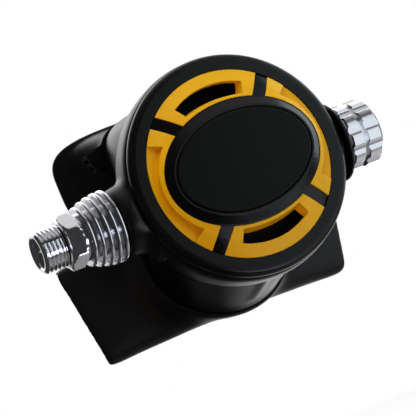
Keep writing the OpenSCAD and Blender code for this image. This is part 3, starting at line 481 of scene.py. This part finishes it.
rings = [port_ring(d, a, b) for d, a, b in (
    (70.0, 17.15, 10.65), (60.9, 17.15, 10.65), (60.55, 17.5, 11.0), (60.5, 18.2, 11.7),
    (60.7, 19.3, 12.8), (61.2, 19.7, 13.2), (62.0, 19.75, 13.25), (67.0, 19.75, 13.25), (69.0, 19.8, 13.3),
)]
for step in range(1, 9):
    part = step / 8
    rings.append(port_ring(
        69 + 9.6 * part, 19.8 + 8.2 * part**1.5, 13.3 + 1.6 * part**1.4, 0.8 * part, 2.9 + 1.1 * part, part**2
    ))
for d, a, b in (
    (78.85, 29.5, 15.1), (78.95, 31.0, 15.35), (79.05, 32.4, 15.7), (79.4, 33.1, 15.93), (80.0, 33.25, 16.0),
    (80.6, 33.1, 15.93), (80.95, 32.4, 15.7), (81.0, 28.0, 13.5), (81.0, 22.0, 10.5),
):
    rings.append(port_ring(d, a, b, 0.8, 4.0, 1.0))
for d, a, b, bend in (
    (80.9, 15.0, 7.8, 0.8), (80.6, 14.0, 6.9, 0.5), (80.0, 13.5, 6.5, 0.2),
    (76.0, 13.5, 6.5, 0), (70.0, 13.5, 6.5, 0),
):
    rings.append(port_ring(d, a, b, 0.2 if bend else 0.0, 2.9, bend))
mouthpiece = skin_mesh("mouthpiece_silicone", rings)
# One broad, calm highlight without grain, as on a cast skin
silicone = blank("black_silicone_satin")
place = add(silicone, "TexCoord").outputs["Object"]
flow = add(silicone, "TexNoise", {"Vector": place}, Scale=per_metre(10), Detail=3)
rough = add(silicone, "MapRange", {"Value": flow.outputs["Fac"]}, To_Min=0.32, To_Max=0.42)
skin = add(
    silicone,
    "BsdfPrincipled",
    {"Roughness": rough.outputs["Result"]},
    Base_Color=linear("#0d0d0e"),
    IOR=1.43,
    Specular_IOR_Level=0.4,
)
add(silicone, "OutputMaterial", {"Surface": skin.outputs["BSDF"]})
mouthpiece.data.materials.append(silicone)
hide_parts("mouthpiece")
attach(mouthpiece, "regulator")



def capped_mesh(name, rings):
    """A mesh from rings of points that is closed at both ends."""
    piece = skin_mesh(name, rings, closed=False)
    shape = bmesh.new()
    shape.from_mesh(piece.data)
    bmesh.ops.holes_fill(shape, edges=shape.edges)
    shape.to_mesh(piece.data)
    shape.free()
    return piece


# Each tab is a flat tongue behind the flange, 11 mm wide, with an upright stop that the teeth
# close in front of.
tab_out = 20
for side in (-1, 1):
    tab = []
    for depth, half_t, half_w, out in (
        (79.6, 1.5, 5.6, 0), (80.4, 1.4, 5.5, 0), (82.0, 1.2, 5.5, 0), (88.0, 1.15, 5.5, 0), (94.0, 1.2, 5.5, 0.1),
        (95.2, 1.5, 5.5, 0.1), (95.9, 2.6, 5.5, 0.1), (96.2, 3.9, 5.5, 0.1), (96.5, 4.4, 5.4, 0.1),
        (97.1, 4.5, 5.2, 0.1), (97.7, 4.3, 5.0, 0.1), (98.0, 3.6, 4.4, 0.1), (98.05, 1.5, 2.0, 0.1),
    ):
        ring = []
        for c, s in around(40):
            x = side * (tab_out + out + half_w * math.copysign(abs(c) ** 0.55, c))
            z = port_rise + half_t * math.copysign(abs(s) ** 0.55, s)
            ring.append(case_axis + Vector((x, depth, z)) / 1000)
        tab.append(ring)
    name = "bite_tab_left" if side < 0 else "bite_tab_right"
    tongue = capped_mesh(name, tab)
    tongue.data.materials.append(silicone)
    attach(tongue, "regulator")

# ------------------------------------------------------------------ mouthpiece tie
# A cable tie that clamps the sleeve to the port, with its locking head at the side. It is moulded
# in plain nylon and pulled tight by hand.

# Dull and even, so that the head doesn't stand out from the sleeve
tie_nylon = blank("black_nylon_moulded_matt")
place = add(tie_nylon, "TexCoord").outputs["Object"]
grain = add(tie_nylon, "TexNoise", {"Vector": place}, Scale=per_metre(0.8), Detail=3)
rough = add(tie_nylon, "MapRange", {"Value": grain.outputs["Fac"]}, To_Min=0.42, To_Max=0.55)
edge = add(tie_nylon, "Bevel", samples=6, Radius=0.0002)
skin = add(
    tie_nylon,
    "BsdfPrincipled",
    {"Roughness": rough.outputs["Result"], "Normal": edge.outputs["Normal"]},
    Base_Color=linear("#0a0a0a"),
    IOR=1.52,
    Specular_IOR_Level=0.15,
)
add(tie_nylon, "OutputMaterial", {"Surface": skin.outputs["BSDF"]})
dress("mouthpiece_tie", tie_nylon)

# ------------------------------------------------------------------ diaphragm
# The soft silicone disc behind the cover, which the water pushes in to open the valve. Its fold
# lets the middle travel, and its bead seals under the clamp ring.

# Nearly without sheen, so that the water slots in front of it look like dark openings
dull_silicone = blank("black_silicone_talced")
place = add(dull_silicone, "TexCoord").outputs["Object"]
bloom = add(dull_silicone, "TexNoise", {"Vector": place}, Scale=per_metre(3), Detail=4)
rough = add(dull_silicone, "MapRange", {"Value": bloom.outputs["Fac"]}, To_Min=0.55, To_Max=0.7)
skin = add(
    dull_silicone,
    "BsdfPrincipled",
    {"Roughness": rough.outputs["Result"]},
    Base_Color=linear("#060606"),
    IOR=1.43,
    Specular_IOR_Level=0.1,
)
add(dull_silicone, "OutputMaterial", {"Surface": skin.outputs["BSDF"]})
rings = []
outline = [
    (0.05, 2.3), (13.6, 2.3), (14.6, 2.38), (19.0, 3.05), (20.4, 3.28), (22.6, 4.1), (24.4, 4.66), (25.6, 4.78),
    (27.6, 5.02), (28.6, 5.15), (30.0, 5.2), (34.3, 5.2), (34.5, 5.4), (34.5, 6.2), (34.3, 6.4), (31.7, 6.4),
    (30.9, 6.1), (30.0, 5.8), (28.2, 5.7), (25.2, 5.38), (24.2, 5.26), (22.4, 4.7), (20.2, 3.88), (19.0, 3.65),
    (14.4, 2.98), (13.4, 2.9), (0.05, 2.9),
]
for r, depth in outline:
    rings.append([case_axis + Vector((r * c, depth, r * s)) / 1000 for c, s in around(96)])
membrane = skin_mesh("diaphragm_silicone", rings)
membrane.data.materials.append(dull_silicone)
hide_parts("diaphragm")
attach(membrane, "regulator")
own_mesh(membrane)

# ------------------------------------------------------------------ exhaust valve
# A soft silicone flap, held by its stem in the middle of the seat. It lies on the seat's spokes,
# and is shown shut.

# A pale grey that lets a little light through, so that its thin edge looks soft
flap_silicone = blank("grey_silicone_soft")
place = add(flap_silicone, "TexCoord").outputs["Object"]
cloud = add(flap_silicone, "TexNoise", {"Vector": place}, Scale=per_metre(4), Detail=3)
tone = add(flap_silicone, "Mix", {"Factor": cloud.outputs["Fac"]}, data_type="RGBA")
tone.inputs["A"].default_value = linear("#8a8c8e")
tone.inputs["B"].default_value = linear("#9c9ea0")
skin = add(
    flap_silicone,
    "BsdfPrincipled",
    {"Base Color": tone.outputs["Result"]},
    Roughness=0.45,
    IOR=1.43,
    Subsurface_Weight=0.3,
    Subsurface_Radius=(0.001, 0.001, 0.001),
    Subsurface_Scale=1.0,
)
add(flap_silicone, "OutputMaterial", {"Surface": skin.outputs["BSDF"]})
drum_centre = case_axis + Vector((0, 48.5, -17.8)) / 1000
drum_lean = math.radians(15)
drum_axis = Vector((0, math.cos(drum_lean), -math.sin(drum_lean)))
rings = []
across = drum_axis.cross(Vector((1, 0, 0)))
outline = [
    (0.05, -3.1), (1.3, -3.1), (2.2, -2.2), (2.3, -1.9), (2.2, -1.1), (1.45, -1.1), (1.45, 1.55), (16.3, 1.55),
    (16.5, 1.65), (16.5, 1.85), (16.2, 2.05), (12.0, 2.3), (6.2, 2.8), (4.6, 3.1), (3.2, 3.7), (2.4, 3.95),
    (0.05, 4.05),
]
for r, along in outline:
    rings.append([
        drum_centre + (drum_axis * along + r * c * Vector((1, 0, 0)) + r * s * across) / 1000
        for c, s in around(72)
    ])
flap = skin_mesh("exhaust_flap", rings)
flap.data.materials.append(flap_silicone)
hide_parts("exhaust_valve")
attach(flap, "regulator")

# ------------------------------------------------------------------ springs
# The purge spring is a cone of stainless wire that lifts the button, and the valve's spring is a
# straight one that holds the poppet on its orifice. Both are drawn wire, wound cold.

# Clear metal highlights that fine scuffs break along the wire
bright_steel = blank("stainless_steel_bright_drawn")
place = add(bright_steel, "TexCoord").outputs["Object"]
scuff = add(bright_steel, "TexNoise", {"Vector": place}, Scale=per_metre(1.2), Detail=4)
rough = add(bright_steel, "MapRange", {"Value": scuff.outputs["Fac"]}, To_Min=0.22, To_Max=0.36)
skin = add(
    bright_steel,
    "BsdfPrincipled",
    {"Roughness": rough.outputs["Result"]},
    Base_Color=linear("#c2c4c8"),
    Metallic=1.0,
)
add(bright_steel, "OutputMaterial", {"Surface": skin.outputs["BSDF"]})


def wound_wire(name, node, start, along, wire_r, length, turns, first_r, last_r):
    """A round wire wound about an axis, from its first radius to its last, in place of a node."""
    side = along.orthogonal().normalized()
    other = along.cross(side)
    wire = []
    steps = 24 * turns
    for i in range(steps + 1):
        angle = 2 * math.pi * i / 24
        reach = first_r + (last_r - first_r) * i / steps
        out = math.cos(angle) * side + math.sin(angle) * other
        middle = start + (out * reach + along * (wire_r + (length - 2 * wire_r) * i / steps)) / 1000
        wire.append([
            middle + wire_r / 1000 * (c * out + s * along)
            for c, s in around(10)
        ])
    spring = capped_mesh(name, wire)
    spring.data.materials.append(bright_steel)
    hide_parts(node)
    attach(spring, "regulator")
    return spring


coil = wound_wire(
    "purge_spring_wire", "purge_spring", case_axis + Vector((0, -3.3, 0)) / 1000, Vector((0, 1, 0)),
    0.3, 3.4, 3, 4.0, 6.4,
)
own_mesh(coil)
# It can follow the carrier only, so it starts 0.95 mm past its solid and leaves the nut its travel
coil = wound_wire(
    "poppet_spring_wire", "poppet_spring", Vector((0.0917, 0, 0)), Vector((1, 0, 0)), 0.4, 9.524, 6, 3.3, 3.3
)
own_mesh(coil)

# ------------------------------------------------------------------ stainless pieces
# The lever, disc, clips, washer and screw, stamped or turned from stainless steel. They are left
# bright, like the springs' wire.

for stamped in ("lever", "lever_washer", "diaphragm_disc", "purge_clip", "screw_clip", "knob_screw"):
    dress(stamped, bright_steel)

# ------------------------------------------------------------------ valve barrel and brass pieces
# The barrel is the one plated tube that carries the valve. Orifice, nut and adjustment screw are
# turned from brass and left bare inside it.

dress("valve_barrel", turned_chrome)
# A warm yellow metal with the cutter's rings on it, 0.35 mm apart here and 0.1 mm on the real piece
turned_brass = blank("brass_turned_bare")
place = add(turned_brass, "TexCoord").outputs["Object"]
marks = add(turned_brass, "TexWave", {"Vector": place}, Scale=per_metre(0.35) / 6.28, Distortion=0.4, Detail=1)
cloud = add(turned_brass, "TexNoise", {"Vector": place}, Scale=per_metre(3), Detail=3)
tone = add(turned_brass, "Mix", {"Factor": cloud.outputs["Fac"]}, data_type="RGBA")
tone.inputs["A"].default_value = linear("#c9a55c")
tone.inputs["B"].default_value = linear("#b8924a")
relief = add(turned_brass, "Bump", {"Height": marks.outputs["Fac"]}, Strength=0.2, Distance=0.00002)
skin = add(
    turned_brass,
    "BsdfPrincipled",
    {"Base Color": tone.outputs["Result"], "Normal": relief.outputs["Normal"]},
    Roughness=0.28,
    Metallic=1.0,
)
add(turned_brass, "OutputMaterial", {"Surface": skin.outputs["BSDF"]})
for turned in ("orifice", "lever_nut", "adjustment_screw"):
    dress(turned, turned_brass)

# ------------------------------------------------------------------ acetal pieces
# Poppet, spring carrier and slip ring are machined from white acetal. It slides without grease,
# so the moving pieces need none.

# An off-white, half matt plastic that can't be taken for metal beside the brass
acetal = blank("white_acetal_machined")
place = add(acetal, "TexCoord").outputs["Object"]
cloud = add(acetal, "TexNoise", {"Vector": place}, Scale=per_metre(2), Detail=3)
rough = add(acetal, "MapRange", {"Value": cloud.outputs["Fac"]}, To_Min=0.35, To_Max=0.48)
skin = add(acetal, "BsdfPrincipled", {"Roughness": rough.outputs["Result"]}, Base_Color=linear("#e4e1d8"), IOR=1.48)
add(acetal, "OutputMaterial", {"Surface": skin.outputs["BSDF"]})
for machined in ("poppet", "spring_carrier", "slip_ring"):
    dress(machined, acetal)

# ------------------------------------------------------------------ seals
# The O-rings and the poppet's seat, moulded in black nitrile rubber. A thin film of grease lets
# the rings slide into their bores.

# Dull black with patches of wet shine where the grease is thick
greased = blank("black_nitrile_greased")
place = add(greased, "TexCoord").outputs["Object"]
smear = add(greased, "TexNoise", {"Vector": place}, Scale=per_metre(2), Detail=4)
rough = add(greased, "MapRange", {"Value": smear.outputs["Fac"]}, To_Min=0.16, To_Max=0.38)
skin = add(greased, "BsdfPrincipled", {"Roughness": rough.outputs["Result"]}, Base_Color=linear("#0c0c0c"), IOR=1.52)
add(greased, "OutputMaterial", {"Surface": skin.outputs["BSDF"]})
for seal in ("barrel_o_rings", "inlet_o_ring", "orifice_o_ring", "screw_o_ring", "poppet_seat"):
    dress(seal, greased)

# ------------------------------------------------------------------ studio
# A pale floor well under the part, a white surround and large soft lights. The camera looks from
# the inlet's side and a little from below, and is rolled.

azimuth, elevation, roll = math.radians(21.99), math.radians(-6.3), math.radians(-23.43)
back = Vector((
    -math.sin(azimuth) * math.cos(elevation), -math.cos(azimuth) * math.cos(elevation), math.sin(elevation)
))
level = Vector((0, 0, 1)).cross(back).normalized()
rise = back.cross(level)
right = math.cos(roll) * level + math.sin(roll) * rise
up = -math.sin(roll) * level + math.cos(roll) * rise
# Millimetres from the case's axis, and a focal length in pixels of a frame that has 416 of them
shift_right, shift_up, distance_back = -10.51, -14.76, 650.17
focal_pixels, frame_pixels, sensor_mm = 1997.38, 416, 36
eye = case_axis + (shift_right * right + shift_up * up + distance_back * back) / 1000
camera = bpy.data.objects.new("camera", bpy.data.cameras.new("camera"))
camera.matrix_world = Matrix.Translation(eye) @ Matrix((right, up, back)).transposed().to_4x4()
camera.data.lens = focal_pixels / frame_pixels * sensor_mm
camera.data.sensor_width = sensor_mm
camera.data.clip_start = 0.01
bpy.context.scene.collection.objects.link(camera)
bpy.context.scene.camera = camera

middle = Vector((0.066, 0.02, 0.0))


def softbox(name, towards, distance, width, height, power, mirrored=True, tint="#ffffff"):
    """A rectangular area light that faces the part; one not mirrored doesn't show in reflections."""
    light = bpy.data.lights.new(name, "AREA")
    light.shape = "RECTANGLE"
    light.size, light.size_y = width, height
    light.energy = power
    light.color = linear(tint)[:3]
    lamp = bpy.data.objects.new(name, light)
    lamp.location = middle + towards.normalized() * distance
    lamp.rotation_euler = towards.to_track_quat("Z", "Y").to_euler()
    lamp.visible_glossy = mirrored
    bpy.context.scene.collection.objects.link(lamp)


softbox("key_light", Vector((-0.05, -0.38, 0.92)), 0.9, 1.0, 1.0, 7.0, mirrored=False)
softbox("left_light", Vector((-0.7, -0.6, -0.35)), 0.9, 0.8, 0.8, 5.0, mirrored=False, tint="#ffd6ae")
softbox("right_light", Vector((0.95, 0.0, 0.2)), 0.8, 0.5, 0.8, 3.0, tint="#ecf9ff")
softbox("side_light", Vector((0.69, -0.72, -0.12)), 0.685, 0.57, 1.1, 2.0, tint="#f0faff")
softbox("low_light", Vector((0.066, -0.246, -0.155)), 0.29, 0.1, 0.09, 0.11, tint="#f0e9ff")
softbox("back_light", Vector((-0.1, 0.75, 0.65)), 0.9, 0.6, 0.6, 1.6)
softbox("back_fill", Vector((0.55, 0.8, -0.2)), 0.9, 0.7, 0.7, 1.4)

# The surround is bright behind and above the part and dark in front of it, so that the blacks stay
# black and the chrome takes hard light and dark bands. The camera sees it as plain white.
world = bpy.data.worlds.new("white_surround")
bpy.context.scene.world = world
world.use_nodes = True
world.node_tree.nodes.clear()
direction = add(world, "TexCoord").outputs["Generated"]
brightness = None
for towards, low, high, strength in (
    ((0.2, 0.85, 0.45), 0.6, 0.85, 0.9),
    ((0.35, 0.0, 0.94), 0.74, 0.95, 0.6),
    ((0.7, 0.45, -0.55), 0.75, 0.95, 0.35),
    ((0.35, -0.05, -0.93), 0.8, 0.97, 0.3),
):
    facing = add(world, "VectorMath", {0: direction}, operation="DOT_PRODUCT")
    facing.inputs[1].default_value = Vector(towards).normalized()
    fade = add(
        world,
        "MapRange",
        {"Value": facing.outputs["Value"]},
        interpolation_type="SMOOTHSTEP",
        From_Min=low,
        From_Max=high,
        To_Min=0.01,
        To_Max=strength,
    ).outputs["Result"]
    brightness = add(world, "Math", {0: brightness, 1: fade}).outputs["Value"] if brightness else fade
glow = add(world, "Background", {"Strength": brightness}, Color=(1, 1, 1, 1))
paper = add(world, "Background", Color=(1, 1, 1, 1))
seen = add(world, "LightPath").outputs["Is Camera Ray"]
both = add(world, "MixShader", {"Fac": seen, 1: glow.outputs["Background"], 2: paper.outputs["Background"]})
add(world, "OutputWorld", {"Surface": both.outputs["Shader"]})

floor_mesh = bpy.data.meshes.new("floor")
floor_mesh.from_pydata([(-3, -3, -0.13), (3, -3, -0.13), (3, 3, -0.13), (-3, 3, -0.13)], [], [(0, 1, 2, 3)])
floor = bpy.data.objects.new("floor", floor_mesh)
bpy.context.scene.collection.objects.link(floor)
# A plain white sheet that glows a little, so that no hard edge of shadow lies on it
painted = blank("lit_white_acrylic_table")
place = add(painted, "TexCoord").outputs["Object"]
fibre = add(painted, "TexNoise", {"Vector": place}, Scale=per_metre(40), Detail=3)
tone = add(painted, "Mix", {"Factor": fibre.outputs["Fac"]}, data_type="RGBA")
tone.inputs["A"].default_value = linear("#f2f2f2")
tone.inputs["B"].default_value = linear("#fafafa")
skin = add(
    painted,
    "BsdfPrincipled",
    {"Base Color": tone.outputs["Result"]},
    Roughness=0.8,
    Emission_Color=(1, 1, 1, 1),
    Emission_Strength=0.55,
)
add(painted, "OutputMaterial", {"Surface": skin.outputs["BSDF"]})
floor.data.materials.append(painted)
floor.visible_glossy = False
floor.visible_diffuse = False
